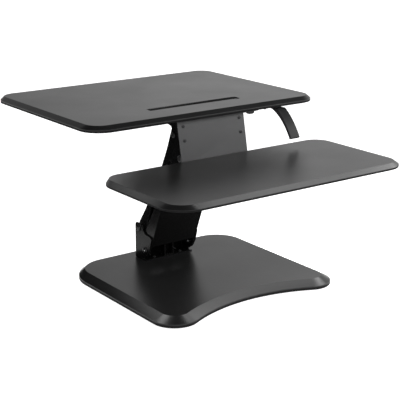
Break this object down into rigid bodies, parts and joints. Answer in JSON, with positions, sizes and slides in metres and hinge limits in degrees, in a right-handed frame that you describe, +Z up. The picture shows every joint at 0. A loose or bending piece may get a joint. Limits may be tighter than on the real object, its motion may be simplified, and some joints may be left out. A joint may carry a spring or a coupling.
{
  "type": "standing desk converter",
  "caption": "Two-tier standing desk converter: a work surface and a keyboard tray on one gas-spring parallelogram column over a base board with a curved front bay.",
  "frame": {"origin": "centre of the overall box in plan, on the desk surface that the feet stand on, trays raised", "axes": "+Z up, +Y towards the back, away from the user, +X to the user's right"},
  "size_m": [0.8, 0.965, 0.526],
  "materials": {
    "black_board": "black satin foil over moulded fibreboard, faintly pebbled",
    "black_steel": "black powder coat, fine texture, satin",
    "grey_plate": "dark grey powder coat, satin",
    "fastener_steel": "blackened steel, worn bright at the edges",
    "chrome_rod": "polished hard chrome",
    "nylon": "black nylon, matte",
    "lever_plastic": "dark grey moulded plastic, fine grain",
    "cable_jacket": "black cable jacket",
    "rubber_foot": "black rubber, matte"
  },
  "bodies": {
    "base": {"base_board": "black_board", "rubber_foot_front_left": "rubber_foot", "rubber_foot_front_right": "rubber_foot", "rubber_foot_middle_left": "rubber_foot", "rubber_foot_middle_right": "rubber_foot", "rubber_foot_back_left": "rubber_foot", "rubber_foot_back_right": "rubber_foot", "base_bracket": "black_steel", "base_screw_front_left": "fastener_steel", "base_screw_back_left": "fastener_steel", "base_screw_front_right": "fastener_steel", "base_screw_back_right": "fastener_steel", "spring_clevis": "black_steel", "spring_pin_lower": "fastener_steel", "front_arm_bolt_lower_left": "fastener_steel", "front_arm_bolt_lower_right": "fastener_steel", "front_arm_washer_lower_left": "nylon", "front_arm_washer_lower_right": "nylon", "rear_arm_spacer_lower_left": "nylon", "rear_arm_spacer_lower_right": "nylon", "rear_arm_pin_lower": "fastener_steel"},
    "front_arm": {"front_arm": "black_steel"},
    "rear_arm": {"rear_arm": "black_steel"},
    "gas_cylinder": {"gas_spring_cylinder": "black_steel", "gas_spring_gland": "nylon", "gas_spring_lower_eye": "black_steel"},
    "gas_rod": {"gas_spring_rod": "chrome_rod", "gas_spring_release_head": "black_steel"},
    "carriage": {"top_board": "black_board", "keyboard_board": "black_board", "top_bracket": "black_steel", "top_screw_front_left": "fastener_steel", "top_screw_back_left": "fastener_steel", "top_screw_front_right": "fastener_steel", "top_screw_back_right": "fastener_steel", "front_arm_bolt_upper_left": "fastener_steel", "front_arm_bolt_upper_right": "fastener_steel", "front_arm_washer_upper_left": "nylon", "front_arm_washer_upper_right": "nylon", "rear_arm_spacer_upper_left": "nylon", "rear_arm_spacer_upper_right": "nylon", "rear_arm_pin_upper": "fastener_steel", "drop_plate": "grey_plate", "plate_screw_upper_left": "fastener_steel", "plate_screw_upper_right": "fastener_steel", "plate_screw_lower_left": "fastener_steel", "plate_screw_lower_right": "fastener_steel", "keyboard_screw_front_left": "fastener_steel", "keyboard_screw_back_left": "fastener_steel", "keyboard_screw_front_right": "fastener_steel", "keyboard_screw_back_right": "fastener_steel", "lever_bracket": "black_steel", "lever_screw_left": "fastener_steel", "lever_screw_right": "fastener_steel", "lever_pin": "fastener_steel", "lever_return_spring": "fastener_steel", "release_cable": "cable_jacket", "cable_stop": "nylon", "cable_clip": "nylon"},
    "lever": {"release_lever": "lever_plastic"}
  },
  "joints": [
    {"name": "column_lift", "type": "hinge", "parent": "base", "child": "front_arm", "pos_m": [0, 0.131, 0.061], "axis": [1, 0, 0], "range_deg": [0, 60]},
    {"name": "rear_arm_swing", "type": "hinge", "parent": "base", "child": "rear_arm", "pos_m": [0, 0.165, 0.124], "axis": [1, 0, 0], "range_deg": [0, 60]},
    {"name": "carriage_level", "type": "hinge", "parent": "front_arm", "child": "carriage", "pos_m": [0, -0.059, 0.39009], "axis": [1, 0, 0], "range_deg": [-60, 0]},
    {"name": "spring_swing", "type": "hinge", "parent": "base", "child": "gas_cylinder", "pos_m": [0, 0.1395, 0.0817], "axis": [1, 0, 0], "range_deg": [0, 58.6]},
    {"name": "spring_stroke", "type": "slide", "parent": "gas_cylinder", "child": "gas_rod", "axis": [0, -0.405, 0.9143], "range_m": [-0.05, 0]},
    {"name": "lever_squeeze", "type": "hinge", "parent": "carriage", "child": "lever", "pos_m": [0.257, -0.036, 0.498], "axis": [-1, 0, 0], "range_deg": [0, 8], "stiffness_Nm_per_rad": 0.5}
  ],
  "couplings": [
    {"joint": "rear_arm_swing", "follows": "column_lift", "ratio": 1},
    {"joint": "carriage_level", "follows": "column_lift", "ratio": -1},
    {"joint": "spring_swing", "follows": "column_lift", "ratio": 0.975},
    {"joint": "spring_stroke", "follows": "column_lift", "m_per_rad": -0.046959}
  ]
}
